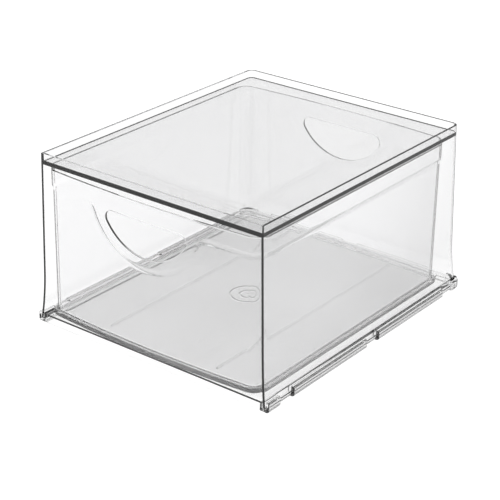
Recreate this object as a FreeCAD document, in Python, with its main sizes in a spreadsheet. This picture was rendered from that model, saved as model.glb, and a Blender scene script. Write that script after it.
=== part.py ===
import FreeCAD, Part

import math
import os

import Sketcher
from FreeCAD import Placement, Rotation, Vector

# Clear shoe box: a sleeve that is open at the front, a base clipped under it and a drawer that
# slides out of the front.  Everything is laid out with y = 0 at the sleeve's front opening and
# z = 0 on the table, and then placed so that the origin is under the middle of the whole box.

SIZES = {
    # sleeve
    "lip_width": 280.0,  # outer width over the stacking lip
    "lip_depth": 343.2,
    "total_height": 191.5,
    "wall": 2.5,
    "lean": 0.0255,  # the walls open downwards, mm for each mm of height
    "lip_height": 8.0,  # from the top panel to the top of the lip
    "panel_thickness": 4.0,
    "flare_top": 60.0,  # below this height the walls curve outwards
    "flare": 3.1,  # extra width at the bottom of each wall
    "front_flare": 2.0,  # the walls' front edges curve forwards by this much
    "sleeve_bottom": 4.0,
    "sleeve_corner": 8.0,
    # base
    "ledge_half": 147.9,
    "ledge_back": 351.1,
    "tray_half": 144.2,
    "tray_back": 347.4,
    "base_front": 2.0,  # how far the base stands in front of the opening
    "base_corner": 8.0,
    "tray_corner": 6.3,
    "plate_bottom": 8.2,
    "plate_top": 10.8,
    "recess_half": 141.0,
    "recess_front": 0.4,
    "recess_back": 344.2,
    "rib_offset": 70.0,
    "rib_width": 1.6,
    "rib_height": 2.0,
    "rib_start": 23.0,
    "rib_length": 305.0,
    "runner_offset": 126.0,
    "runner_width": 4.0,
    "runner_top": 13.0,
    "runner_start": 6.0,
    "runner_length": 330.0,
    # connector rails round the base
    "rail_half": 152.0,
    "rail_back": 355.2,
    "rail_gap": 0.4,
    "rail_top": 11.0,
    "rail_round": 2.4,
    "rail_short": 20.0,
    "rail_space": 21.0,
    # drawer
    "bow_radius": 1500.0,  # the drawer's front and back are slightly convex
    "drawer_wall": 2.6,
    "drawer_half": 134.2,
    "drawer_front": 3.2,  # how far the middle of the front stands out of the opening
    "drawer_back": 328.9,
    "drawer_corner": 13.0,
    "band_step": 1.7,  # the band under the rim stands out by this much
    "band_bottom": 156.5,
    "rim_top": 176.0,
    "foot_step": 4.4,
    "foot_bottom": 13.2,
    "foot_top": 22.0,
    "foot_round": 3.6,
    "floor_top": 16.2,
    "floor_round": 6.0,
    # grip opening in the drawer's front and back
    "grip_top": 156.5,
    "grip_centre": 177.5,
    "grip_radius": 60.0,
    "grip_round": 8.0,
    "grip_border": 13.0,
    # middle of the closed box, measured from the opening
    "middle": 173.8,
    # modelling: how far a cutting block runs past a face, and how far it reaches clear of the box
    "overrun": 1.0,
    "reach": 700.0,
}
SAME_HEIGHT = 0.01  # edges within this of a height count as lying at it

doc = FreeCAD.newDocument("shoe_box")
sheet = doc.addObject("Spreadsheet::Sheet", "Sizes")
for row, (alias, number) in enumerate(SIZES.items(), start=1):
    sheet.set(f"A{row}", alias)
    sheet.set(f"B{row}", str(number))
    sheet.setAlias(f"B{row}", alias)
doc.recompute()


class Dim:
    """A length as both its present number and the sheet expression that drives it."""

    def __init__(self, number, text):
        self.number = float(number)
        self.text = text

    def join(self, other, sign, number):
        other = other if isinstance(other, Dim) else Dim(other, repr(float(other)))
        return Dim(number(self.number, other.number), f"({self.text} {sign} {other.text})")

    def __add__(self, other):
        return self.join(other, "+", lambda a, b: a + b)

    def __sub__(self, other):
        return self.join(other, "-", lambda a, b: a - b)

    def __mul__(self, other):
        return self.join(other, "*", lambda a, b: a * b)

    def __truediv__(self, other):
        return self.join(other, "/", lambda a, b: a / b)

    def __neg__(self):
        return Dim(-self.number, f"(0 - {self.text})")


def size(alias):
    return Dim(sheet.get(alias), f"Sizes.{alias}")


ZERO = Dim(0, "0")
XZ_PLANE = Rotation(Vector(1, 0, 0), 90)  # sketch x is X and sketch y is Z
YZ_PLANE = Rotation(Vector(0, 1, 0), Vector(0, 0, 1), Vector(1, 0, 0), "XYZ")  # x is Y, y is Z


def bind(target, name, dim):
    """Drive one property of a document object from the sheet."""
    target.setExpression(name, dim.text)


def box(name, low, high):
    """A block between two corners given as Dims."""
    block = doc.addObject("Part::Box", name)
    for prop, start, end, axis in zip(("Length", "Width", "Height"), low, high, "xyz"):
        bind(block, prop, end - start)
        bind(block, f"Placement.Base.{axis}", start)
    return block


def combine(kind, name, *shapes):
    """Part::MultiFuse or Part::MultiCommon of several objects."""
    joined = doc.addObject(kind, name)
    joined.Shapes = list(shapes)
    return joined


def cut(name, base, tool):
    result = doc.addObject("Part::Cut", name)
    result.Base = base
    result.Tool = tool
    return result


def fillet(name, base, radius, wanted):
    """Round the edges of base for which wanted(edge) is true."""
    doc.recompute()
    rounded = doc.addObject("Part::Fillet", name)
    rounded.Base = base
    numbers = [i for i, edge in enumerate(base.Shape.Edges, start=1) if wanted(edge)]
    if not numbers:
        raise ValueError(f"{name}: no edge to round")
    rounded.Edges = [(i, radius.number, radius.number) for i in numbers]
    return rounded


def middle_of(edge):
    return edge.valueAt((edge.FirstParameter + edge.LastParameter) / 2)


def is_upright(edge):
    """True for an edge that runs mostly up and down."""
    ends = [v.Point for v in edge.Vertexes]
    return len(ends) == 2 and abs(ends[0].z - ends[1].z) > 0.9 * (ends[0] - ends[1]).Length


def lies_at(edge, height):
    box_of = edge.BoundBox
    low, high = box_of.ZMin - height.number, box_of.ZMax - height.number
    return max(abs(low), abs(high)) < SAME_HEIGHT


def extrude(name, sketch, direction, forward, backward=ZERO):
    """Part::Extrusion of a sketch along a unit vector, both ways if backward is given."""
    solid = doc.addObject("Part::Extrusion", name)
    solid.Base = sketch
    solid.DirMode = "Custom"
    solid.Dir = direction
    solid.Solid = True
    bind(solid, "LengthFwd", forward)
    if backward is not ZERO:
        bind(solid, "LengthRev", backward)
    return solid


def pin(sketch, geometry, vertex, x, y):
    """Fix one end of a sketch curve at (x, y)."""
    for kind, dim in (("DistanceX", x), ("DistanceY", y)):
        number = sketch.addConstraint(
            Sketcher.Constraint(kind, -1, 1, geometry, vertex, dim.number)
        )
        bind(sketch, f"Constraints[{number}]", dim)


def arc_from(start, heading, end):
    """The arc that leaves start along heading and reaches end, drawn anticlockwise."""
    chord = end - start
    side = Vector(-heading.y, heading.x, 0).normalize()
    radius = chord.dot(chord) / (2 * chord.dot(side))
    centre = start + side * radius
    angles = [math.atan2(p.y - centre.y, p.x - centre.x) for p in (start, end)]
    low, high = min(angles), max(angles)
    if high - low > math.pi:
        low, high = high, low + 2 * math.pi
    circle = Part.Circle(centre, Vector(0, 0, 1), abs(radius))
    return Part.ArcOfCircle(circle, low, high)


def nearest_end(curve, point):
    """1 or 2: which end of a sketch curve lies at point."""
    return 1 if (curve.StartPoint - point).Length < (curve.EndPoint - point).Length else 2


def wall_profile(name, plane, points, arcs):
    """A closed sketch through points.  arcs maps a segment's number to the step, +1 or -1, to
    the straight neighbour that it is tangent to."""
    sketch = doc.addObject("Sketcher::SketchObject", name)
    sketch.Placement = Placement(Vector(), plane)
    at = [Vector(x.number, y.number, 0) for x, y in points]
    count = len(points)
    for i in range(count):
        start, end = at[i], at[(i + 1) % count]
        if i not in arcs:
            sketch.addGeometry(Part.LineSegment(start, end))
        elif arcs[i] > 0:
            heading = end - at[(i + 2) % count]
            sketch.addGeometry(arc_from(end, heading, start))
        else:
            heading = start - at[i - 1]
            sketch.addGeometry(arc_from(start, heading, end))
    for i in range(count):
        last, this = sketch.Geometry[i - 1], sketch.Geometry[i]
        end, start = nearest_end(last, at[i]), nearest_end(this, at[i])
        before, after = (i - 1) % count, i
        smooth = arcs.get(before) == 1 or arcs.get(after) == -1
        kind = "Tangent" if smooth else "Coincident"
        sketch.addConstraint(Sketcher.Constraint(kind, before, end, after, start))
        pin(sketch, after, start, *points[i])
    return sketch


def tub_outline(name, height, grow):
    """The drawer's outline, grown by grow: straight sides, bowed front and back, round corners."""
    sketch = doc.addObject("Sketcher::SketchObject", name)
    bind(sketch, "Placement.Base.z", height)
    half = size("drawer_half") + grow
    corner = size("drawer_corner") + grow
    bow = size("bow_radius")
    front = -size("drawer_front") - grow
    back = size("drawer_back") + grow
    reach = math.sqrt(
        (bow.number - corner.number) ** 2 - (half.number - corner.number) ** 2
    )
    slope = (half.number - corner.number) / (bow.number - corner.number)
    inner_x = half.number - corner.number
    front_bow = Vector(0, front.number + bow.number, 0)
    back_bow = Vector(0, back.number - bow.number, 0)
    for centre, way in ((front_bow, -1), (back_bow, 1)):
        angle = math.asin(slope)
        middle = way * math.pi / 2
        circle = Part.Circle(centre, Vector(0, 0, 1), bow.number)
        sketch.addGeometry(Part.ArcOfCircle(circle, middle - angle, middle + angle))
    for side in (1, -1):
        low = Vector(side * half.number, front_bow.y - reach, 0)
        high = Vector(side * half.number, back_bow.y + reach, 0)
        sketch.addGeometry(Part.LineSegment(low, high))
    turn = math.pi / 2 - math.asin(slope)
    for x_side, y_side in ((1, -1), (1, 1), (-1, 1), (-1, -1)):
        y = front_bow.y - reach if y_side < 0 else back_bow.y + reach
        circle = Part.Circle(Vector(x_side * inner_x, y, 0), Vector(0, 0, 1), corner.number)
        straight = 0 if x_side > 0 else math.pi
        if x_side * y_side > 0:
            sketch.addGeometry(Part.ArcOfCircle(circle, straight, straight + turn))
        else:
            sketch.addGeometry(Part.ArcOfCircle(circle, straight - turn, straight))
    # curves 0 to 7: front bow, back bow, right side, left side, then the corners from the
    # front right anticlockwise; each corner meets a bow with one end and a side with the other
    for corner_curve, bow_curve, side_curve in ((4, 0, 2), (5, 1, 2), (6, 1, 3), (7, 0, 3)):
        for neighbour in (bow_curve, side_curve):
            here, there = shared_ends(sketch, corner_curve, neighbour)
            sketch.addConstraint(
                Sketcher.Constraint("Tangent", corner_curve, here, neighbour, there)
            )
    for curve, radius in ((0, bow), (1, bow), (4, corner), (5, corner), (6, corner), (7, corner)):
        number = sketch.addConstraint(Sketcher.Constraint("Radius", curve, radius.number))
        bind(sketch, f"Constraints[{number}]", radius)
    pin(sketch, 0, 3, ZERO, front + bow)
    pin(sketch, 1, 3, ZERO, back - bow)
    for curve, x in ((2, half), (3, -half)):
        number = sketch.addConstraint(Sketcher.Constraint("DistanceX", -1, 1, curve, 1, x.number))
        bind(sketch, f"Constraints[{number}]", x)
    return sketch


def shared_ends(sketch, first, second):
    """Which ends of two touching sketch curves meet."""
    pairs = []
    for here in (1, 2):
        for there in (1, 2):
            gap = (sketch.getPoint(first, here) - sketch.getPoint(second, there)).Length
            pairs.append((gap, here, there))
    return min(pairs)[1:]


def tub_block(name, bottom, top, grow):
    """A solid with the drawer's outline between two heights."""
    outline = tub_outline(f"{name}_outline", bottom, grow)
    return extrude(name, outline, Vector(0, 0, 1), top - bottom)


# ---------------------------------------------------------------- sleeve


def sleeve_envelope(name, inset, top, open_front):
    """The drafted, flared block inside the sleeve's faces, moved in by inset.  Its front is the
    opening's flared edge, or a plane well in front of it if open_front is true."""
    half_top = size("lip_width") / 2 - inset
    back_top = size("lip_depth") - inset
    lean, height, knee = size("lean"), size("total_height"), size("flare_top")
    knee_out = lean * (height - knee)
    foot_out = lean * (height - size("sleeve_bottom")) + size("flare")
    foot = size("sleeve_bottom")
    across = [
        (-half_top - foot_out, foot),
        (half_top + foot_out, foot),
        (half_top + knee_out, knee),
        (half_top, height),
        (-half_top, height),
        (-half_top - knee_out, knee),
    ]
    seen_from_front = wall_profile(f"{name}_across", XZ_PLANE, across, {1: 1, 5: -1})
    back = [(back_top + foot_out, foot), (back_top + knee_out, knee), (back_top, height)]
    if open_front:
        far = -size("reach") / 2
        along = [(far, foot), *back, (far, height)]
        arcs = {1: 1}
    else:
        along = [(-size("front_flare"), foot), *back, (ZERO, height), (ZERO, knee)]
        arcs = {1: 1, 5: -1}
    seen_from_side = wall_profile(f"{name}_along", YZ_PLANE, along, arcs)
    reach = size("reach")
    across_solid = extrude(f"{name}_across_solid", seen_from_front, Vector(0, 1, 0), reach, reach)
    along_solid = extrude(f"{name}_along_solid", seen_from_side, Vector(1, 0, 0), reach, reach)
    block = combine("Part::MultiCommon", f"{name}_block", across_solid, along_solid)
    rounded = fillet(
        f"{name}_rounded",
        block,
        size("sleeve_corner") - inset,
        lambda edge: is_upright(edge) and middle_of(edge).y > back_top.number / 2,
    )
    limit = box(f"{name}_limit", (-reach, -reach, foot), (reach, reach, top))
    return combine("Part::MultiCommon", name, rounded, limit)


def make_sleeve():
    """One moulding: top panel with a lip all round, two sides and a back, open to the front."""
    height, wall = size("total_height"), size("wall")
    panel_top = height - size("lip_height")
    panel_bottom = panel_top - size("panel_thickness")
    outer = sleeve_envelope("sleeve_outer", ZERO, height, open_front=False)
    inner = sleeve_envelope("sleeve_inner", wall, panel_bottom, open_front=True)
    recess_block = box(
        "lip_recess_block",
        (wall - size("lip_width") / 2, wall, panel_top),
        (size("lip_width") / 2 - wall, size("lip_depth") - wall, height + wall),
    )
    recess = fillet(
        "lip_recess",
        recess_block,
        size("sleeve_corner") - wall,
        lambda edge: is_upright(edge) and middle_of(edge).y > size("middle").number,
    )
    return cut("sleeve", cut("sleeve_hollow", outer, inner), recess)


# ---------------------------------------------------------------- base


def footprint(name, half, front, back, bottom, top, corner):
    """A block over the base's footprint with rounded back corners."""
    block = box(f"{name}_block", (-half, front, bottom), (half, back, top))
    return fillet(
        name,
        block,
        corner,
        lambda edge: is_upright(edge) and middle_of(edge).y > size("middle").number,
    )


def rail_spans(length):
    """Starts and ends, from the near end, of the four rails along one side: a short rail at
    each corner and two long ones between them."""
    short, space = size("rail_short"), size("rail_space")
    long_rail = (length - short * 2 - space * 3) / 2
    first = short + space
    second = first + long_rail + space
    return [
        (ZERO, short),
        (first, first + long_rail),
        (second, second + long_rail),
        (length - short, length),
    ]


def make_rails():
    """The round-edged connector rails that stand outside the sleeve's walls."""
    front, half, back = -size("base_front"), size("rail_half"), size("rail_back")
    top, corner, overrun = size("rail_top"), size("base_corner"), size("overrun")
    rail_corner = corner + half - size("ledge_half")
    whole = footprint("rail_whole", half, front, back, ZERO, top, rail_corner)
    rounded = fillet(
        "rail_rounded",
        whole,
        size("rail_round"),
        lambda edge: (lies_at(edge, top) or lies_at(edge, ZERO))
        and middle_of(edge).y > front.number + overrun.number,
    )
    wall_space = footprint(
        "rail_wall_space",
        size("ledge_half") + size("rail_gap"),
        front - overrun,
        size("ledge_back") + size("rail_gap"),
        size("sleeve_bottom"),
        top + overrun,
        corner,
    )
    under_space = footprint(
        "rail_under_space",
        size("ledge_half") - overrun,
        front - overrun,
        size("ledge_back") - overrun,
        ZERO - overrun,
        size("sleeve_bottom"),
        corner,
    )
    ring = cut("rail_ring", cut("rail_ring_above", rounded, wall_space), under_space)
    teeth = []
    outside = size("rail_half") * 2
    margin = size("rail_short")
    for number, (start, end) in enumerate(rail_spans(back - front), start=1):
        for side, x_low, x_high in (
            ("left", -outside, margin - half),
            ("right", half - margin, outside),
        ):
            low = (x_low, front + start, ZERO)
            high = (x_high, front + end, top)
            teeth.append(box(f"rail_{side}_{number}", low, high))
    for number, (start, end) in enumerate(rail_spans(half * 2), start=1):
        low = (start - half, back - margin, ZERO)
        high = (end - half, back + margin, top)
        teeth.append(box(f"rail_rear_{number}", low, high))
    spans = combine("Part::MultiFuse", "rail_spans", *teeth)
    return combine("Part::MultiCommon", "rails", ring, spans)


def make_base():
    """One moulding: plate, skirt with a stacking recess below, runners above, rails outside."""
    front, corner = -size("base_front"), size("base_corner")
    plate_bottom, plate_top = size("plate_bottom"), size("plate_top")
    ledge = footprint(
        "ledge",
        size("ledge_half"),
        front,
        size("ledge_back"),
        ZERO,
        size("sleeve_bottom"),
        corner,
    )
    tray = footprint(
        "tray",
        size("tray_half"),
        front,
        size("tray_back"),
        ZERO,
        plate_top,
        size("tray_corner"),
    )
    body = combine("Part::MultiFuse", "base_body", ledge, tray, make_rails())
    recess = box(
        "stacking_recess",
        (-size("recess_half"), -size("recess_front"), ZERO - size("overrun")),
        (size("recess_half"), size("recess_back"), plate_bottom),
    )
    shell = cut("base_shell", body, recess)
    strips = []
    for name, side in (("left", -1), ("right", 1)):
        rib_x = size("rib_offset") * side
        rib_half = size("rib_width") / 2
        rib_end = size("rib_start") + size("rib_length")
        strips.append(
            box(
                f"rib_{name}",
                (rib_x - rib_half, size("rib_start"), plate_bottom - size("rib_height")),
                (rib_x + rib_half, rib_end, plate_bottom),
            )
        )
        runner_x = size("runner_offset") * side
        runner_half = size("runner_width") / 2
        runner_end = size("runner_start") + size("runner_length")
        strips.append(
            box(
                f"runner_{name}",
                (runner_x - runner_half, size("runner_start"), plate_top),
                (runner_x + runner_half, runner_end, size("runner_top")),
            )
        )
    return combine("Part::MultiFuse", "base", shell, *strips)


# ---------------------------------------------------------------- drawer


def stepped_tub(name, inset, lift, bottom, top):
    """The drawer's outside, or its inside when inset is given: the wall, the band under the rim
    that stands out, and the same step carried down round each grip.  lift moves the step in
    towards the rim and the grips, so that the wall stays thick where it steps."""
    step = size("band_step")
    wall_block = tub_block(f"{name}_wall", bottom, top, -inset)
    band_block = tub_block(f"{name}_band", size("band_bottom") + lift, top, step - inset)
    border = size("grip_radius") + size("grip_border") - lift
    low = size("grip_centre") - border - size("overrun")
    deep_block = tub_block(f"{name}_deep_band", low, top, step - inset)
    disc = doc.addObject("Part::Cylinder", f"{name}_disc")
    disc.Placement = Placement(Vector(), Rotation(Vector(1, 0, 0), 90))
    bind(disc, "Radius", border)
    bind(disc, "Height", size("reach"))
    bind(disc, "Placement.Base.y", size("reach") / 2 + size("middle"))
    bind(disc, "Placement.Base.z", size("grip_centre"))
    border_block = combine("Part::MultiCommon", f"{name}_grip_border", deep_block, disc)
    return combine("Part::MultiFuse", name, wall_block, band_block, border_block)


def grip_outline():
    """Half-moon: straight top edge, large lower arc, two small corner arcs."""
    top, centre = size("grip_top"), size("grip_centre")
    big, small = size("grip_radius"), size("grip_round")
    across = math.sqrt(
        (big.number - small.number) ** 2 - (centre.number - top.number + small.number) ** 2
    )
    small_z = top.number - small.number
    touch = math.atan2(small_z - centre.number, across)
    sketch = doc.addObject("Sketcher::SketchObject", "grip_outline")
    sketch.Placement = Placement(Vector(), XZ_PLANE)
    upward = Vector(0, 0, 1)
    sketch.addGeometry(
        Part.LineSegment(Vector(-across, top.number, 0), Vector(across, top.number, 0))
    )
    big_circle = Part.Circle(Vector(0, centre.number, 0), upward, big.number)
    sketch.addGeometry(Part.ArcOfCircle(big_circle, -math.pi - touch, touch))
    right_circle = Part.Circle(Vector(across, small_z, 0), upward, small.number)
    sketch.addGeometry(Part.ArcOfCircle(right_circle, touch, math.pi / 2))
    left_circle = Part.Circle(Vector(-across, small_z, 0), upward, small.number)
    sketch.addGeometry(Part.ArcOfCircle(left_circle, math.pi / 2, math.pi - touch))
    for first, second in ((0, 2), (0, 3), (1, 2), (1, 3)):
        here, there = shared_ends(sketch, first, second)
        sketch.addConstraint(Sketcher.Constraint("Tangent", first, here, second, there))
    for curve, radius in ((1, big), (2, small), (3, small)):
        number = sketch.addConstraint(Sketcher.Constraint("Radius", curve, radius.number))
        bind(sketch, f"Constraints[{number}]", radius)
    pin(sketch, 1, 3, ZERO, centre)
    number = sketch.addConstraint(Sketcher.Constraint("DistanceY", -1, 1, 0, 1, top.number))
    bind(sketch, f"Constraints[{number}]", top)
    return sketch


def make_drawer():
    """One moulded tub with a round-edged foot all round and a grip in its front and back."""
    foot_bottom, foot_top = size("foot_bottom"), size("foot_top")
    foot_block = tub_block("foot_block", foot_bottom, foot_top, size("foot_step"))
    foot = fillet(
        "foot",
        foot_block,
        size("foot_round"),
        lambda edge: lies_at(edge, foot_bottom) or lies_at(edge, foot_top),
    )
    rim_top, wall = size("rim_top"), size("drawer_wall")
    floor_top, open_top = size("floor_top"), size("rim_top") + size("overrun")
    outer = stepped_tub("tub_outer", ZERO, ZERO, foot_bottom, rim_top)
    inner_sharp = stepped_tub("tub_inner_sharp", wall, size("band_step"), floor_top, open_top)
    inner = fillet(
        "tub_inner",
        inner_sharp,
        size("floor_round"),
        lambda edge: lies_at(edge, floor_top),
    )
    solid = combine("Part::MultiFuse", "tub_solid", foot, outer)
    tub = cut("tub", solid, inner)
    reach = size("reach")
    grips = extrude("grips", grip_outline(), Vector(0, 1, 0), reach, reach)
    return cut("drawer", tub, grips)


# ---------------------------------------------------------------- checks and export

parts = [make_sleeve(), make_base(), make_drawer()]
doc.recompute()
for part in parts:
    part.Label = part.Name
    bind(part, "Placement.Base.y", -size("middle"))
doc.recompute()

for item in doc.Objects:
    if "Invalid" in item.State or "Error" in item.State:
        raise RuntimeError(f"{item.Name} could not be worked out: {item.State}")
os.makedirs("parts", exist_ok=True)
for part in parts:
    shape = part.Shape
    if shape.isNull() or not shape.isValid() or len(shape.Solids) != 1:
        raise RuntimeError(f"{part.Label} is not one valid solid")
    bounds = shape.BoundBox
    print(
        part.Label,
        f"{shape.Volume / 1000:.1f} cm3",
        f"x {bounds.XMin:.2f} {bounds.XMax:.2f}",
        f"y {bounds.YMin:.2f} {bounds.YMax:.2f}",
        f"z {bounds.ZMin:.2f} {bounds.ZMax:.2f}",
    )
    shape.exportStep(f"parts/{part.Label}.step")
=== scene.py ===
import math

import bmesh
import bpy
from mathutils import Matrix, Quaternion, Vector
from mathutils.geometry import delaunay_2d_cdt


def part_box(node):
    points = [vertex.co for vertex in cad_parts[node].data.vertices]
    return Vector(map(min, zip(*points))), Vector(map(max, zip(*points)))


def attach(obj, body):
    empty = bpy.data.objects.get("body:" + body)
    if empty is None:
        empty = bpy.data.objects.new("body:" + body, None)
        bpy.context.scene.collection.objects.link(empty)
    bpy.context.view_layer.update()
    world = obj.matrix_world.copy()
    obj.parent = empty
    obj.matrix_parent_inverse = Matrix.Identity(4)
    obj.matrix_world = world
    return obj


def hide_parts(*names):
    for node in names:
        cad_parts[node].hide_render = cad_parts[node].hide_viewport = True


# A clear plastic shoe box: sleeve, base and sliding drawer.  The shapes are worked out in
# millimetres, with y = 0 at the sleeve's front opening and z = 0 on the floor, and are moved
# into the frame's place by ORIGIN when a mesh is made.

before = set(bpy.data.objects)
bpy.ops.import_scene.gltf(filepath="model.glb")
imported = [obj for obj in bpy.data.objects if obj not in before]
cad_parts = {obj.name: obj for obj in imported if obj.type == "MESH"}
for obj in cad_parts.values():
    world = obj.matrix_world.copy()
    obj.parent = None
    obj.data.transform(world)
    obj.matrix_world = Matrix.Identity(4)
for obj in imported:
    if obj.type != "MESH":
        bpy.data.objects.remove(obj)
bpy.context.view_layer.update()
MM = 0.001

# ---------------------------------------------------------------- sizes, in millimetres

WALL = 2.7
LIP_WALL = 2.5
TOP = 191.5
TOP_HALF = 140.0
TOP_DEPTH = 343.2
LEAN = 0.0255  # the sleeve's walls open downwards
LIP = 8.0
PANEL = 4.0
FLARE_TOP = 60.0
FLARE = 3.1
FRONT_FLARE = 2.0
SLEEVE_BOTTOM = 4.0
SLEEVE_CORNER = 8.0

LEDGE_HALF, LEDGE_BACK = 147.9, 351.1
TRAY_HALF, TRAY_BACK = 144.2, 347.4
TRAY_NOTCH = 0.8  # the tray's side steps in between the rails
TRAY_CORNER = 6.3
BASE_FRONT = -2.0
PLATE_BOTTOM, PLATE_TOP = 8.2, 10.8
RECESS_HALF, RECESS_FRONT, RECESS_BACK = 141.0, -0.4, 344.2
RIB_OFFSET, RIB_WIDTH, RIB_HEIGHT, RIB_START, RIB_END = 70.0, 1.6, 2.0, 23.0, 328.0
RUNNER_OFFSET, RUNNER_WIDTH, RUNNER_TOP, RUNNER_START, RUNNER_END = 126.0, 4.0, 13.0, 6.0, 336.0
RAIL_HALF, RAIL_TOP = 152.0, 11.0
RAIL_ROUND = 2.4
RAIL_GAP = 0.4
RAIL_END_ROUND = 1.2
RAIL_SHORT, RAIL_CORNER, RAIL_SPACE = 20.0, 14.0, 21.0
RAIL_FIRST = 0.4  # how far the first rail starts behind the base's front
TONGUE_REACH, TONGUE_DROP, TONGUE_RISE, TONGUE_EDGE = 1.4, 0.6, 0.4, 0.1  # into the ledge
EDGE_ROUND = 1.2
SKIRT_LOW = 1.5

BOW = 1500.0
DRAWER_WALL = 2.6
DRAWER_HALF = 134.2
DRAWER_FRONT, DRAWER_BACK = -3.2, 328.9
DRAWER_CORNER = 13.0
BAND_STEP = 1.3
BAND_BOTTOM = 156.5
BAND_FILLET = 10.0  # where the band's step turns down round the grip
RIM = 176.0
FOOT_STEP = 4.34
FOOT_BOTTOM, FOOT_TOP = 13.2, 19.2
FOOT_ROUND = 2.4
FLOOR_TOP = 16.2
FLOOR_ROUND = 3.0
GRIP_TOP = 156.5
GRIP_CENTRE = 177.5
GRIP_RADIUS = 60.0
GRIP_ROUND = 8.0
GRIP_BORDER = 13.0

DRAWER_MIDDLE = 162.8
MARK_RADII, MARK_WIDTH, MARK_HEIGHT = (0.0, 9.0, 19.0), 1.8, 0.3
FLOOR_GAP = 0.2
OVERLAP = 1.0  # how far solids that are joined reach into each other

# the layout's origin in the frame: under the sleeve's opening, on the floor
ORIGIN = Vector((0.0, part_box("sleeve")[0].y + FRONT_FLARE * MM, 0.0))


def make_object(name, bm, materials):
    """Turn a bmesh in layout millimetres into an object in the frame's metres."""
    bmesh.ops.recalc_face_normals(bm, faces=bm.faces)
    for vert in bm.verts:
        vert.co = vert.co * MM + ORIGIN
    mesh = bpy.data.meshes.new(name)
    bm.to_mesh(mesh)
    bm.free()
    obj = bpy.data.objects.new(name, mesh)
    bpy.context.scene.collection.objects.link(obj)
    for material in materials:
        mesh.materials.append(material)
    return obj


def smooth(obj, sharp_angle):
    """Smooth shading, with edges sharper than sharp_angle (degrees) left crisp."""
    for polygon in obj.data.polygons:
        polygon.use_smooth = True
    obj.data.set_sharp_from_angle(angle=math.radians(sharp_angle))


def round_edges(obj, width, angle, clamp=True):
    """Small moulded radius on every edge sharper than angle (degrees)."""
    bevel = obj.modifiers.new("moulded_edges", "BEVEL")
    bevel.width = width * MM
    bevel.segments = 3
    bevel.limit_method = "ANGLE"
    bevel.angle_limit = math.radians(angle)
    bevel.harden_normals = True
    bevel.use_clamp_overlap = clamp


def smoothstep(t):
    t = min(max(t, 0.0), 1.0)
    return t * t * (3 - 2 * t)


def quads_between(bm, low, high, closed):
    """Faces joining two rows of vertices of the same length."""
    count = len(low) if closed else len(low) - 1
    for i in range(count):
        j = (i + 1) % len(low)
        corners = [low[i], low[j], high[j], high[i]]
        if len(set(corners)) > 2:
            bm.faces.new(corners)


def stack_quads(bm, rows, closed):
    """Faces joining each row of vertices to the next."""
    for low, high in zip(rows, rows[1:]):
        quads_between(bm, low, high, closed)


def require_closed(bm, name):
    open_edges = sum(1 for edge in bm.edges if len(edge.link_faces) != 2)
    if open_edges:
        raise RuntimeError(f"the {name}'s skin has {open_edges} open edges")


# ---------------------------------------------------------------- materials


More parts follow.
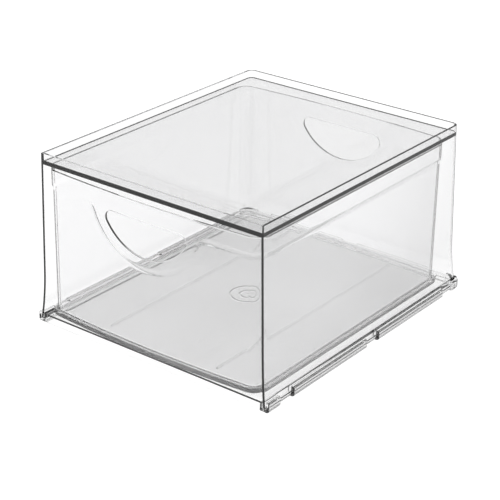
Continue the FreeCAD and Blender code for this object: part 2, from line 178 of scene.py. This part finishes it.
def clear_plastic(
    name, tint, density, roughness=0.0, bump=0.006, grain=0.0, milk=0.0, lean=0.2
):
    """Clear moulded plastic.  density is the light lost per metre of depth, which darkens long
    looks through an edge; bump is the height of the slow waviness that moulding leaves; grain
    adds a fine frosted texture, and milk a white haze.  On surfaces whose normal rises less than
    lean, painted shade darkens the colour where they turn away from the eye, standing in for dark
    surroundings beside the box."""
    material = bpy.data.materials.new(name)
    material.use_nodes = True
    nodes, links = material.node_tree.nodes, material.node_tree.links
    shader = nodes["Principled BSDF"]
    shader.inputs["Transmission Weight"].default_value = 1.0 - milk
    shader.inputs["IOR"].default_value = 1.49
    place = nodes.new("ShaderNodeTexCoord")
    wave = nodes.new("ShaderNodeTexNoise")
    wave.inputs["Scale"].default_value = 9.0
    wave.inputs["Detail"].default_value = 1.0
    links.new(place.outputs["Object"], wave.inputs["Vector"])
    ripple = nodes.new("ShaderNodeBump")
    ripple.inputs["Strength"].default_value = 1.0
    ripple.inputs["Distance"].default_value = bump * MM
    links.new(wave.outputs["Fac"], ripple.inputs["Height"])
    normal = ripple
    haze = nodes.new("ShaderNodeMapRange")
    haze.inputs["To Min"].default_value = roughness * 0.6
    haze.inputs["To Max"].default_value = roughness * 1.4
    if grain:
        fine = nodes.new("ShaderNodeTexNoise")
        fine.inputs["Scale"].default_value = 900.0
        fine.inputs["Detail"].default_value = 2.0
        links.new(place.outputs["Object"], fine.inputs["Vector"])
        frost = nodes.new("ShaderNodeBump")
        frost.inputs["Distance"].default_value = grain * MM
        links.new(fine.outputs["Fac"], frost.inputs["Height"])
        links.new(ripple.outputs["Normal"], frost.inputs["Normal"])
        normal = frost
    links.new(wave.outputs["Fac"], haze.inputs["Value"])
    links.new(haze.outputs["Result"], shader.inputs["Roughness"])
    links.new(normal.outputs["Normal"], shader.inputs["Normal"])
    # painted shade: steep surfaces are darkened towards near-black where they turn away from the
    # eye, standing in for dark surroundings beside the box
    turned = nodes.new("ShaderNodeLayerWeight")
    rim = nodes.new("ShaderNodeMapRange")
    rim.interpolation_type = "SMOOTHSTEP"
    rim.inputs["From Min"].default_value = 0.48
    rim.inputs["From Max"].default_value = 0.7
    links.new(turned.outputs["Facing"], rim.inputs["Value"])
    surface = nodes.new("ShaderNodeNewGeometry")
    parts = nodes.new("ShaderNodeSeparateXYZ")
    links.new(surface.outputs["Normal"], parts.inputs["Vector"])
    level = nodes.new("ShaderNodeMath")
    level.operation = "ABSOLUTE"
    links.new(parts.outputs["Z"], level.inputs[0])
    upright_painted_shade = nodes.new("ShaderNodeMapRange")
    upright_painted_shade.inputs["From Min"].default_value = lean / 4
    upright_painted_shade.inputs["From Max"].default_value = lean
    upright_painted_shade.inputs["To Min"].default_value = 1.0
    upright_painted_shade.inputs["To Max"].default_value = 0.0
    links.new(level.outputs["Value"], upright_painted_shade.inputs["Value"])
    amount = nodes.new("ShaderNodeMath")
    amount.operation = "MULTIPLY"
    links.new(rim.outputs["Result"], amount.inputs[0])
    links.new(upright_painted_shade.outputs["Result"], amount.inputs[1])
    # the base colour mixes the plastic's tint with near-black by that amount: painted shade
    tint_and_painted_shade = nodes.new("ShaderNodeMix")
    tint_and_painted_shade.data_type = "RGBA"
    tint_and_painted_shade.inputs["A"].default_value = (*tint, 1.0)
    tint_and_painted_shade.inputs["B"].default_value = (0.03, 0.03, 0.03, 1.0)
    links.new(amount.outputs["Value"], tint_and_painted_shade.inputs["Factor"])
    links.new(tint_and_painted_shade.outputs["Result"], shader.inputs["Base Color"])
    body = nodes.new("ShaderNodeVolumeAbsorption")
    body.inputs["Color"].default_value = (0.0, 0.0, 0.0, 1.0)
    body.inputs["Density"].default_value = density
    links.new(body.outputs["Volume"], nodes["Material Output"].inputs["Volume"])
    return material


def mould_mark(material, place):
    """Two faint raised rings and a dot, as a mould leaves in the middle of a part's underside."""
    nodes, links = material.node_tree.nodes, material.node_tree.links
    where = nodes.new("ShaderNodeTexCoord")
    flat = nodes.new("ShaderNodeVectorMath")
    flat.operation = "MULTIPLY"
    flat.inputs[1].default_value = (1.0, 1.0, 0.0)
    links.new(where.outputs["Object"], flat.inputs[0])
    away = nodes.new("ShaderNodeVectorMath")
    away.operation = "DISTANCE"
    away.inputs[1].default_value = (Vector(place) * MM + ORIGIN) * Vector((1.0, 1.0, 0.0))
    links.new(flat.outputs["Vector"], away.inputs[0])
    total = None
    for radius in MARK_RADII:
        off = nodes.new("ShaderNodeMath")
        off.operation = "SUBTRACT"
        off.inputs[1].default_value = radius * MM
        links.new(away.outputs["Value"], off.inputs[0])
        size = nodes.new("ShaderNodeMath")
        size.operation = "ABSOLUTE"
        links.new(off.outputs["Value"], size.inputs[0])
        ridge = nodes.new("ShaderNodeMapRange")
        ridge.interpolation_type = "SMOOTHSTEP"
        ridge.inputs["From Min"].default_value = MARK_WIDTH * MM
        ridge.inputs["From Max"].default_value = 0.0
        links.new(size.outputs["Value"], ridge.inputs["Value"])
        if total is None:
            total = ridge.outputs["Result"]
            continue
        both = nodes.new("ShaderNodeMath")
        both.operation = "ADD"
        links.new(total, both.inputs[0])
        links.new(ridge.outputs["Result"], both.inputs[1])
        total = both.outputs["Value"]
    raised = nodes.new("ShaderNodeBump")
    raised.inputs["Distance"].default_value = MARK_HEIGHT * MM
    shader = nodes["Principled BSDF"]
    links.new(total, raised.inputs["Height"])
    links.new(shader.inputs["Normal"].links[0].from_socket, raised.inputs["Normal"])
    links.new(raised.outputs["Normal"], shader.inputs["Normal"])


SLEEVE_CLEAR = clear_plastic("sleeve_plastic", (0.99, 0.99, 0.992), 18.0)
DRAWER_CLEAR = clear_plastic("drawer_plastic", (0.975, 0.975, 0.978), 2.5)
DRAWER_FROSTED = clear_plastic(
    "drawer_underside", (0.99, 0.99, 0.99), 2.5, roughness=0.22, grain=0.01, milk=0.08
)
mould_mark(DRAWER_FROSTED, (0.0, DRAWER_MIDDLE, 0.0))
BASE_CLEAR = clear_plastic("base_plastic", (0.99, 0.99, 0.99), 3.0, lean=0.4)

# ---------------------------------------------------------------- sleeve


def flared(height, amount):
    """How far a wall's foot has curved outwards at a height."""
    rise = max(FLARE_TOP - height, 0.0) / (FLARE_TOP - SLEEVE_BOTTOM)
    return amount * rise * rise


def corner_points(x, y, radius, start, steps):
    """A quarter circle, anticlockwise from the angle start in degrees."""
    angles = [math.radians(start + 90 * i / steps) for i in range(steps + 1)]
    return [(x + radius * math.cos(a), y + radius * math.sin(a)) for a in angles]


def sleeve_plan(half, front, back, radius, steps=10, margin=2.0):
    """A wall seen from above: from the right side's front end round the back to the left
    side's front end."""
    turn_x, turn_y = half - radius, back - radius
    right = [(half, front), (half, turn_y - margin)]
    right += corner_points(turn_x, turn_y, radius, 0, steps)
    right.append((turn_x - margin, back))
    return right + [(-x, y) for x, y in reversed(right)]


def wall_plan(height, inset):
    """The sleeve's wall at a height, moved inwards by inset."""
    out = LEAN * (TOP - height) + flared(height, FLARE) - inset
    front = -flared(height, FRONT_FLARE)
    return sleeve_plan(TOP_HALF + out, front, TOP_DEPTH + out, SLEEVE_CORNER - inset)


def lip_plan():
    """The inner edge of the lip, point for point beside wall_plan."""
    half, back, radius = TOP_HALF - LIP_WALL, TOP_DEPTH - LIP_WALL, SLEEVE_CORNER - LIP_WALL
    return sleeve_plan(half, LIP_WALL, back, radius)


def build_sleeve():
    """Top panel with its lip, two sides and a back, as one closed skin open to the front."""
    bm = bmesh.new()
    panel_top = TOP - LIP
    panel_bottom = panel_top - PANEL
    flare_steps = 14
    heights = [
        SLEEVE_BOTTOM + (FLARE_TOP - SLEEVE_BOTTOM) * i / flare_steps
        for i in range(flare_steps + 1)
    ]
    heights += [FLARE_TOP + 3.0, panel_bottom]

    def row(height, plan):
        return [bm.verts.new((x, y, height)) for x, y in plan]

    outside = [row(h, wall_plan(h, 0.0)) for h in heights]
    inside = [row(h, wall_plan(h, WALL)) for h in heights]
    for rows in (outside, inside):
        stack_quads(bm, rows, closed=False)
    quads_between(bm, outside[0], inside[0], closed=False)
    for end in (0, -1):
        front_out = [r[end] for r in outside]
        front_in = [r[end] for r in inside]
        quads_between(bm, front_out, front_in, closed=False)
    lip_outside = row(TOP, wall_plan(TOP, 0.0))
    quads_between(bm, outside[-1], lip_outside, closed=False)
    lip_inside = row(TOP, lip_plan())
    panel_edge = row(panel_top, lip_plan())
    quads_between(bm, lip_outside, lip_inside, closed=True)
    quads_between(bm, lip_inside, panel_edge, closed=True)
    bm.faces.new(panel_edge)
    bm.faces.new(inside[-1])
    under_panel = [outside[-1][0], inside[-1][0], inside[-1][-1], outside[-1][-1]]
    bm.faces.new([*under_panel, lip_outside[-1], lip_outside[0]])
    sleeve = make_object("clear_sleeve", bm, [SLEEVE_CLEAR])
    smooth(sleeve, 30)
    round_edges(sleeve, 0.25, 40)
    return sleeve


# ---------------------------------------------------------------- drawer


class Outline:
    """The drawer's plan as a closed row of (point, outward direction): bowed front and back,
    straight sides, round corners.  The front bow comes first, left to right."""

    def __init__(self):
        turn = math.asin((DRAWER_HALF - DRAWER_CORNER) / (BOW - DRAWER_CORNER))
        self.reach = BOW * turn
        columns = self.columns()
        self.points = [self.on_bow(s, -1) for s in columns]
        self.points += self.side(1)
        self.back_start = len(self.points)
        self.points += [self.on_bow(-s, 1) for s in columns]
        self.points += self.side(-1)

    def columns(self):
        """Distances along a bow, closer together at its ends."""
        count, margin = 26, 1.2
        inner = self.reach - margin
        evenly = [inner * (2 * i / count - 1) for i in range(count + 1)]
        return [-self.reach, *evenly, self.reach]

    def on_bow(self, s, way):
        """A place s along the front bow (way -1) or the back bow (way 1)."""
        angle = s / BOW
        end = DRAWER_FRONT if way < 0 else DRAWER_BACK
        centre_y = end - way * BOW
        outward = Vector((math.sin(angle), way * math.cos(angle), 0.0))
        return Vector((0.0, centre_y, 0.0)) + outward * BOW, outward

    def side(self, way):
        """The two corners and the straight between them: right side (1) going back, left side
        (-1) coming forward."""
        steps, margin = 10, 2.0
        centre_x = way * (DRAWER_HALF - DRAWER_CORNER)
        places = []
        for end in (-way, way):
            bow_end, outward = self.on_bow(way * self.reach, end)
            centre_y = (bow_end - outward * DRAWER_CORNER).y
            centre = Vector((centre_x, centre_y, 0.0))
            first = math.atan2(outward.y, outward.x)
            last = 0.0 if way > 0 else math.copysign(math.pi, first)
            angles = [first + (last - first) * i / steps for i in range(1, steps + 1)]
            arc = []
            for angle in angles:
                direction = Vector((math.cos(angle), math.sin(angle), 0.0))
                arc.append((centre + direction * DRAWER_CORNER, direction))
            straight_end, direction = arc[-1]
            arc.append((straight_end + Vector((0.0, -end * margin, 0.0)), direction))
            places.append(arc if end == -way else arc[::-1])
        return places[0] + places[1]


def at(place, grow, height):
    point, outward = place
    return Vector((point.x + outward.x * grow, point.y + outward.y * grow, height))


def arc_profile(grow, height, radius, start, end, steps):
    """(grow, height) pairs on an arc; angles in degrees from outwards, anticlockwise to up."""
    pairs = []
    for i in range(steps + 1):
        angle = math.radians(start + (end - start) * i / steps)
        pairs.append((grow + radius * math.cos(angle), height + radius * math.sin(angle)))
    return pairs


def tangent_corner(radius, drop):
    """Where a small circle's centre lies, drop below a big circle's centre and radius from it,
    and the angle at which the two circles touch."""
    across = math.sqrt(radius**2 - drop**2)
    return across, math.atan2(-drop, across)


BORDER_RADIUS = GRIP_RADIUS + GRIP_BORDER
BORDER_CORNER_Z = BAND_BOTTOM - BAND_FILLET
BORDER_ACROSS, BORDER_TOUCH = tangent_corner(
    BORDER_RADIUS + BAND_FILLET, GRIP_CENTRE - BORDER_CORNER_Z
)
GRIP_CORNER_Z = GRIP_TOP - GRIP_ROUND
GRIP_ACROSS, GRIP_TOUCH = tangent_corner(GRIP_RADIUS - GRIP_ROUND, GRIP_CENTRE - GRIP_CORNER_Z)


def arc_points(s, z, radius, start, end, steps):
    """(s, z) points on an arc, angles in radians, without the first."""
    angles = [start + (end - start) * i / steps for i in range(1, steps + 1)]
    return [(s + radius * math.cos(a), z + radius * math.sin(a)) for a in angles]


def mirrored(right, closed):
    """A row of (s, z) from the middle to the right, with its mirror image before or after it."""
    if closed:
        return right + [(-s, z) for s, z in reversed(right[1:-1])]
    return [(-s, z) for s, z in reversed(right[1:])] + right


def border_curve(offset):
    """The foot of the step under the rim: level at the sides, dipping round the grip.  offset
    moves it into the band."""
    radius, fillet = BORDER_RADIUS - offset, BAND_FILLET + offset
    right = [(0.0, GRIP_CENTRE - radius)]
    right += arc_points(0.0, GRIP_CENTRE, radius, -math.pi / 2, BORDER_TOUCH, 22)
    corner = (BORDER_ACROSS, BORDER_CORNER_Z, fillet)
    right += arc_points(*corner, BORDER_TOUCH + math.pi, math.pi / 2, 8)
    level_length = outline.reach - BORDER_ACROSS
    for part in (0.25, 0.5, 0.75, 1.0):
        right.append((BORDER_ACROSS + level_length * part, BAND_BOTTOM + offset))
    return mirrored(right, closed=False)


def border_distance(s, z):
    """How far (s, z) lies inside border_curve(0)."""
    s = abs(s)
    if s >= BORDER_ACROSS:
        return z - BAND_BOTTOM
    angle = math.atan2(z - BORDER_CORNER_Z, s - BORDER_ACROSS)
    if math.pi / 2 <= angle <= BORDER_TOUCH + math.pi:
        return math.hypot(s - BORDER_ACROSS, z - BORDER_CORNER_Z) - BAND_FILLET
    return BORDER_RADIUS - math.hypot(s, z - GRIP_CENTRE)


def grip_curve(offset):
    """The grip's half-moon outline, grown by offset, anticlockwise from its lowest point."""
    radius, corner = GRIP_RADIUS + offset, GRIP_ROUND + offset
    right = [(0.0, GRIP_CENTRE - radius)]
    right += arc_points(0.0, GRIP_CENTRE, radius, -math.pi / 2, GRIP_TOUCH, 20)
    right += arc_points(GRIP_ACROSS, GRIP_CORNER_Z, corner, GRIP_TOUCH, math.pi / 2, 9)
    right += [(GRIP_ACROSS * part, GRIP_TOP + offset) for part in (0.75, 0.5, 0.25, 0.0)]
    return mirrored(right, closed=True)


def in_grip(s, z, grown=0.0):
    """True inside the grip's outline, grown by a distance."""
    s = abs(s)
    angle = math.atan2(z - GRIP_CORNER_Z, s - GRIP_ACROSS)
    if GRIP_TOUCH < angle < math.pi / 2:
        return math.hypot(s - GRIP_ACROSS, z - GRIP_CORNER_Z) < GRIP_ROUND + grown
    return z < GRIP_TOP + grown and math.hypot(s, z - GRIP_CENTRE) < GRIP_RADIUS + grown


STEP_OFFSETS = [-4.5, -3.2, -2.4, -1.6, -0.8, 0.0, 0.8, 1.6, 2.4, 3.2, 4.5]
GRIP_EDGE = 0.45
GRIP_EDGE_STEPS = 5
GRID = 11.0


def step_rise(offset):
    """How far the band stands out, at a distance into it from its foot."""
    first, last = STEP_OFFSETS[1], STEP_OFFSETS[-2]
    return BAND_STEP * smoothstep((offset - first) / (last - first))


def grip_wall(bm, way, base_grow, lift, edge_way, low, high):
    """The part of a bowed wall round a grip, as triangles that follow the band's step and the
    grip's edge.  Returns the innermost loop of vertices round the grip."""
    points, grows, edges = [], [], []

    def add_line(line, grow, closed=False):
        first, count = len(points), len(line)
        points.extend(line)
        grows.extend([grow] * count)
        for i in range(count if closed else count - 1):
            edges.append((first + i, first + (i + 1) % count))
        return range(first, first + count)

    above = base_grow + BAND_STEP
    columns = outline.columns()
    add_line([(s, low) for s in columns], base_grow)
    add_line([(s, high) for s in columns], above)
    for offset in STEP_OFFSETS:
        add_line(border_curve(lift + offset), base_grow + step_rise(offset))
    support = GRIP_EDGE * 1.8
    add_line(grip_curve(support), above, closed=True)
    for i in range(GRIP_EDGE_STEPS + 1):
        angle = math.pi / 2 * i / GRIP_EDGE_STEPS
        sunk = GRIP_EDGE * (1 - math.cos(angle))
        offset = GRIP_EDGE * (1 - math.sin(angle))
        loop = add_line(grip_curve(offset), above - edge_way * sunk, closed=True)
    clear = 3.0
    for s in columns[2:-2]:
        for step in range(1, int((high - low) / GRID)):
            z = low + GRID * step
            inside = border_distance(s, z) - lift
            on_step = STEP_OFFSETS[0] - clear < inside < STEP_OFFSETS[-1] + clear
            if not on_step and not in_grip(s, z, support + clear):
                points.append((s, z))
                grows.append(above if inside > 0 else base_grow)
    places = [Vector(place) for place in points]
    _, _, triangles, sources, _, openings = delaunay_2d_cdt(places, edges, [list(loop)], 0, 1e-5)
    made = {}
    for source in sources:
        s, z = points[source[0]]
        made[source[0]] = bm.verts.new(at(outline.on_bow(s, way), grows[source[0]], z))
    for triangle, opening in zip(triangles, openings):
        if not opening:
            bm.faces.new([made[sources[i][0]] for i in triangle])
    return [made[i] for i in loop]


def build_drawer():
    """The tub as one closed skin: foot, walls with the stepped band, rim, inside, floor."""
    bm = bmesh.new()
    low, high = 28.0, 171.0
    places = outline.points
    count = len(places)

    def ring(grow, height):
        return [bm.verts.new(at(place, grow, height)) for place in places]

    def loft(profile):
        rings = [ring(grow, height) for grow, height in profile]
        stack_quads(bm, rings, closed=True)
        return rings[0]

    # the outside up to the grips: underside, foot, wall
    foot_grow = FOOT_STEP - FOOT_ROUND
    profile = [(foot_grow - 3.0, FOOT_BOTTOM), (foot_grow - 0.6, FOOT_BOTTOM)]
    profile += arc_profile(foot_grow, FOOT_BOTTOM + FOOT_ROUND, FOOT_ROUND, -90, 0, 8)
    profile += arc_profile(foot_grow, FOOT_TOP - FOOT_ROUND, FOOT_ROUND, 0, 90, 8)
    profile += arc_profile(foot_grow, FOOT_TOP + foot_grow, foot_grow, 270, 180, 5)[1:]
    profile += [(0.0, 26.0), (0.0, low)]
    bm.faces.new(loft(profile))

    # the inside: floor, rounded corner, wall
    inner = -DRAWER_WALL
    floor_grow = inner - FLOOR_ROUND
    profile = [(floor_grow - 3.0, FLOOR_TOP), (floor_grow - 0.6, FLOOR_TOP)]
    profile += arc_profile(floor_grow, FLOOR_TOP + FLOOR_ROUND, FLOOR_ROUND, -90, 0, 9)
    profile += [(inner, 24.0), (inner, low)]
    bm.faces.new(loft(profile))

    # the rim joins outside and inside
    rim = 0.9
    rim_out = BAND_STEP - rim
    rim_in = inner + BAND_STEP + rim
    profile = [(BAND_STEP, high), (BAND_STEP, RIM - rim - 1.0)]
    profile += arc_profile(rim_out, RIM - rim, rim, 0, 90, 5)
    profile += arc_profile(rim_in, RIM - rim, rim, 90, 180, 5)
    profile += [(inner + BAND_STEP, RIM - rim - 1.0), (inner + BAND_STEP, high)]
    loft(profile)

    # sides and corners between the grips, row by row
    bow_count = len(outline.columns())
    spans = ((bow_count - 1, outline.back_start), (outline.back_start + bow_count - 1, count))
    skins = ((0.0, 0.0, 1), (inner, 0.4, -1))  # the step sits a little higher on the inside
    for base_grow, lift, _ in skins:
        heights = [(base_grow, low)]
        for offset in STEP_OFFSETS:
            heights.append((base_grow + step_rise(offset), BAND_BOTTOM + lift + offset))
        heights.append((base_grow + BAND_STEP, high))
        for start, end in spans:
            numbers = [i % count for i in range(start, end + 1)]
            rows = [[bm.verts.new(at(places[i], g, z)) for i in numbers] for g, z in heights]
            stack_quads(bm, rows, closed=False)
    for way in (-1, 1):
        loops = [grip_wall(bm, way, *skin, low, high) for skin in skins]
        quads_between(bm, *loops, closed=True)

    bmesh.ops.remove_doubles(bm, verts=bm.verts, dist=0.001)
    for face in bm.faces:
        middle = face.calc_center_median()
        flat_bottom = abs(middle.z - FOOT_BOTTOM) < 0.01
        face.material_index = 1 if flat_bottom else 0
    require_closed(bm, "drawer")
    drawer = make_object("clear_drawer", bm, [DRAWER_CLEAR, DRAWER_FROSTED])
    smooth(drawer, 60)
    return drawer


# ---------------------------------------------------------------- base


def footprint(half, front, back, radius, steps=8):
    """A plan with square front corners and round back corners, anticlockwise."""
    right = [(half, front)] + corner_points(half - radius, back - radius, radius, 0, steps)
    return right + [(-x, y) for x, y in reversed(right)]


def stacked(name, rows_of_points):
    """A closed solid from rows of points, its first and last rows filled in."""
    bm = bmesh.new()
    rows = [[bm.verts.new(point) for point in points] for points in rows_of_points]
    stack_quads(bm, rows, closed=True)
    bm.faces.new(rows[0])
    bm.faces.new(rows[-1])
    return make_object(name, bm, [])


def prism(plan, low, high):
    """A plan stretched between two heights, as an object to combine with others."""
    return stacked("prism", [[(x, y, z) for x, y in plan] for z in (low, high)])


def rounding(radius, steps, step_angle):
    """(along, inset) pairs on a quarter round, from its inset start to its full width."""
    angles = [math.radians(step_angle * i) for i in range(steps)]
    return [(radius * (1 - math.cos(a)), radius * (1 - math.sin(a))) for a in angles]


def rounded_ledge(radius):
    """The ledge round the base, its bottom edge rounded off."""
    rows = []
    for height, inset in [*rounding(EDGE_ROUND, 7, 15), (SLEEVE_BOTTOM, 0.0)]:
        half, back = LEDGE_HALF - inset, LEDGE_BACK - inset
        plan = footprint(half, BASE_FRONT + inset, back, radius - inset)
        rows.append([(x, y, height) for x, y in plan])
    return stacked("clear_base", rows)


def rectangle(x_low, x_high, y_low, y_high):
    return [(x_low, y_low), (x_high, y_low), (x_high, y_high), (x_low, y_high)]


TURN_STEPS = 12


def rail_path():
    """Places along the ledge's edge with their outward directions, from the front of the right
    side, and their distances from the start."""
    radius = LEDGE_HALF - TRAY_HALF + TRAY_CORNER
    turn_x, turn_y = LEDGE_HALF - radius, LEDGE_BACK - radius
    places = [(LEDGE_HALF, BASE_FRONT, 1.0, 0.0), (LEDGE_HALF, turn_y, 1.0, 0.0)]
    for i in range(1, TURN_STEPS + 1):
        angle = math.pi / 2 * i / TURN_STEPS
        x, y = math.cos(angle), math.sin(angle)
        places.append((turn_x + radius * x, turn_y + radius * y, x, y))
    places += [(-x, y, -nx, ny) for x, y, nx, ny in reversed(places)]
    lengths = [0.0]
    for (x0, y0, *_), (x1, y1, *_) in zip(places, places[1:]):
        lengths.append(lengths[-1] + math.hypot(x1 - x0, y1 - y0))
    return places, lengths


def place_on(path, distance):
    """The place and outward direction at a distance along a rail path."""
    places, lengths = path
    stretches = zip(places, places[1:], lengths, lengths[1:])
    for first, second, start, end in stretches:
        if distance <= end + 1e-6:
            part = (distance - start) / (end - start)
            return [a + (b - a) * part for a, b in zip(first, second)]
    return list(places[-1])


def rail(path, start, end):
    """One connector rail along part of the path, its profile rounded outwards and its ends
    rounded off."""
    _, lengths = path
    reach = RAIL_HALF - LEDGE_HALF
    ends = rounding(RAIL_END_ROUND, 6, 18)
    margin = 4.0
    trims = [(start + d, trim) for d, trim in ends]
    trims += [(d, 0.0) for d in lengths if start + margin < d < end - margin]
    trims += [(end - d, trim) for d, trim in reversed(ends)]
    tongue_top = SLEEVE_BOTTOM - TONGUE_DROP
    rows = []
    for distance, trim in trims:
        x, y, nx, ny = place_on(path, distance)
        outer = reach - trim
        profile = [(-TONGUE_REACH, TONGUE_RISE), (TONGUE_EDGE, 0.0)]
        profile += arc_profile(outer - RAIL_ROUND, RAIL_ROUND, RAIL_ROUND, -90, 0, 6)
        profile += arc_profile(outer - RAIL_ROUND, RAIL_TOP - RAIL_ROUND, RAIL_ROUND, 0, 90, 6)
        profile += [(RAIL_GAP, RAIL_TOP), (RAIL_GAP, tongue_top), (-TONGUE_REACH, tongue_top)]
        rows.append([(x + nx * u, y + ny * u, z) for u, z in profile])
    return stacked("rail", rows)


def combine(base, others, operation):
    """Join others to base, or cut them from it, and drop them."""
    group = bpy.data.collections.new("operands")
    for other in others:
        group.objects.link(other)
    step = base.modifiers.new("combine", "BOOLEAN")
    step.operation = operation
    step.operand_type = "COLLECTION"
    step.collection = group
    step.solver = "EXACT"
    graph = bpy.context.evaluated_depsgraph_get()
    mesh = bpy.data.meshes.new_from_object(base.evaluated_get(graph))
    base.modifiers.clear()
    base.data = mesh
    for other in others:
        bpy.data.objects.remove(other)
    bpy.data.collections.remove(group)


def rail_spans(path):
    """Starts and ends of the rails on both sides and the back: a short rail at each front end,
    one round each back corner, and two long ones between them."""
    _, lengths = path
    total = lengths[-1]
    side = lengths[1]
    turn = lengths[1 + TURN_STEPS] - side
    side_end = side + turn / 2
    long_rail = (side_end - RAIL_SHORT - RAIL_CORNER - RAIL_SPACE * 3) / 2
    first = RAIL_SHORT + RAIL_SPACE
    second = first + long_rail + RAIL_SPACE
    corner = second + long_rail + RAIL_SPACE
    back = total - 2 * side_end
    back_rail = (back - RAIL_CORNER * 2 - RAIL_SPACE * 3) / 2
    corner_end = side_end + RAIL_CORNER
    back_first = corner_end + RAIL_SPACE
    half = [
        (RAIL_FIRST, RAIL_SHORT),
        (first, first + long_rail),
        (second, second + long_rail),
        (corner, corner_end),
        (back_first, back_first + back_rail),
    ]
    return half + [(total - end, total - start) for start, end in half]


def both_sides(x_low, x_high, y_low, y_high, low, high):
    """A block on the right and its mirror image on the left."""
    right = rectangle(x_low, x_high, y_low, y_high)
    left = rectangle(-x_high, -x_low, y_low, y_high)
    return [prism(plan, low, high) for plan in (left, right)]


def strips(middle, width, start, end, low, high):
    """Two long strips, middle to either side of the centre line."""
    return both_sides(middle - width / 2, middle + width / 2, start, end, low, high)


def build_base():
    """Plate, skirt with its stacking recess, runners, ribs and rails, as one closed skin."""
    base = rounded_ledge(LEDGE_HALF - TRAY_HALF + TRAY_CORNER)
    inner = TRAY_HALF - TRAY_NOTCH
    tray_plan = footprint(inner, BASE_FRONT, TRAY_BACK, TRAY_CORNER)
    path = rail_path()
    spans = rail_spans(path)
    added = [prism(tray_plan, SKIRT_LOW, PLATE_TOP)]
    added += [rail(path, start, end) for start, end in spans]
    for start, end in spans[:3]:
        y_low, y_high = start + BASE_FRONT, end + BASE_FRONT
        pad_top = PLATE_TOP - 0.1
        added += both_sides(inner - OVERLAP, TRAY_HALF, y_low, y_high, SKIRT_LOW, pad_top)
    runner = (RUNNER_OFFSET, RUNNER_WIDTH, RUNNER_START, RUNNER_END)
    added += strips(*runner, PLATE_TOP - OVERLAP, RUNNER_TOP)
    combine(base, added, "UNION")
    recess_plan = rectangle(-RECESS_HALF, RECESS_HALF, RECESS_FRONT, RECESS_BACK)
    combine(base, [prism(recess_plan, -OVERLAP, PLATE_BOTTOM)], "DIFFERENCE")
    rib = (RIB_OFFSET, RIB_WIDTH, RIB_START, RIB_END)
    ribs = strips(*rib, PLATE_BOTTOM - RIB_HEIGHT, PLATE_BOTTOM + OVERLAP)
    combine(base, ribs, "UNION")
    bm = bmesh.new()
    bm.from_mesh(base.data)
    tiny = 0.01 * MM
    flat_angle = math.radians(0.3)
    bmesh.ops.remove_doubles(bm, verts=bm.verts, dist=tiny)
    bmesh.ops.dissolve_degenerate(bm, dist=tiny, edges=bm.edges)
    bmesh.ops.dissolve_limit(bm, angle_limit=flat_angle, verts=bm.verts, edges=bm.edges)
    require_closed(bm, "base")
    bm.to_mesh(base.data)
    bm.free()
    base.data.materials.append(BASE_CLEAR)
    smooth(base, 30)
    round_edges(base, 0.12, 40, clamp=False)
    flat = base.modifiers.new("flat_faces", "WEIGHTED_NORMAL")
    flat.keep_sharp = True
    return base


# ---------------------------------------------------------------- build

outline = Outline()

sleeve = build_sleeve()
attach(sleeve, "shell")
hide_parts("sleeve")

drawer = build_drawer()
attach(drawer, "tray")
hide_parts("drawer")

base = build_base()
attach(base, "shell")
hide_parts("base")

# ---------------------------------------------------------------- floor, light and camera


def build_floor():
    """A large pale floor under the box, which glows a little like a light table."""
    bm = bmesh.new()
    reach = 6000.0
    corners = [(-reach, -reach), (reach, -reach), (reach, reach), (-reach, reach)]
    bm.faces.new([bm.verts.new((x, y, 0.0)) for x, y in corners])
    material = bpy.data.materials.new("pale_floor")
    material.use_nodes = True
    shader = material.node_tree.nodes["Principled BSDF"]
    shader.inputs["Base Color"].default_value = (0.15, 0.15, 0.15, 1.0)
    shader.inputs["Emission Color"].default_value = (1.0, 1.0, 1.0, 1.0)
    shader.inputs["Emission Strength"].default_value = 0.98
    shader.inputs["Roughness"].default_value = 0.9
    shader.inputs["Specular IOR Level"].default_value = 0.0
    floor = make_object("floor", bm, [material])
    floor.location.z = -FLOOR_GAP * MM


def build_world():
    """A studio: bright near the horizon and overhead, darker between, so that clear plastic
    shows its edges."""
    world = bpy.data.worlds.new("studio")
    world.use_nodes = True
    nodes, links = world.node_tree.nodes, world.node_tree.links
    place = nodes.new("ShaderNodeTexCoord")
    parts = nodes.new("ShaderNodeSeparateXYZ")
    ramp = nodes.new("ShaderNodeValToRGB")
    links.new(place.outputs["Generated"], parts.inputs["Vector"])
    links.new(parts.outputs["Z"], ramp.inputs["Fac"])
    links.new(ramp.outputs["Color"], nodes["Background"].inputs["Color"])
    nodes["Background"].inputs["Strength"].default_value = 2.0
    levels = ((0.0, 0.5), (0.18, 0.45), (0.32, 0.34), (0.6, 0.34), (0.8, 0.8), (1.0, 1.0))
    elements = ramp.color_ramp.elements
    while len(elements) < len(levels):
        elements.new(0.5)
    for element, (position, level) in zip(elements, levels):
        element.position = position
        element.color = (level, level, level, 1.0)
    bpy.context.scene.world = world


AZIMUTH, ELEVATION, ROLL = 37.32, 25.18, 0.99
AIM = Vector((0.0, -0.0097, 0.0666))
DISTANCE = 1.6602


def build_camera():
    camera = bpy.data.cameras.new("camera")
    camera.lens = 112.7
    camera.sensor_width = 36.0
    camera.clip_end = 20.0
    obj = bpy.data.objects.new("camera", camera)
    bpy.context.scene.collection.objects.link(obj)
    azimuth, elevation = math.radians(AZIMUTH), math.radians(ELEVATION)
    back = Vector(
        (
            math.sin(azimuth) * math.cos(elevation),
            -math.cos(azimuth) * math.cos(elevation),
            math.sin(elevation),
        )
    )
    obj.rotation_mode = "QUATERNION"
    turn = (-back).to_track_quat("-Z", "Y")
    obj.rotation_quaternion = turn @ Quaternion((0.0, 0.0, 1.0), math.radians(ROLL))
    obj.location = AIM + back * DISTANCE
    bpy.context.scene.camera = obj


build_floor()
build_world()
build_camera()
scene = bpy.context.scene
scene.view_settings.view_transform = "Standard"
scene.cycles.max_bounces = 24
scene.cycles.transmission_bounces = 24
scene.cycles.glossy_bounces = 16
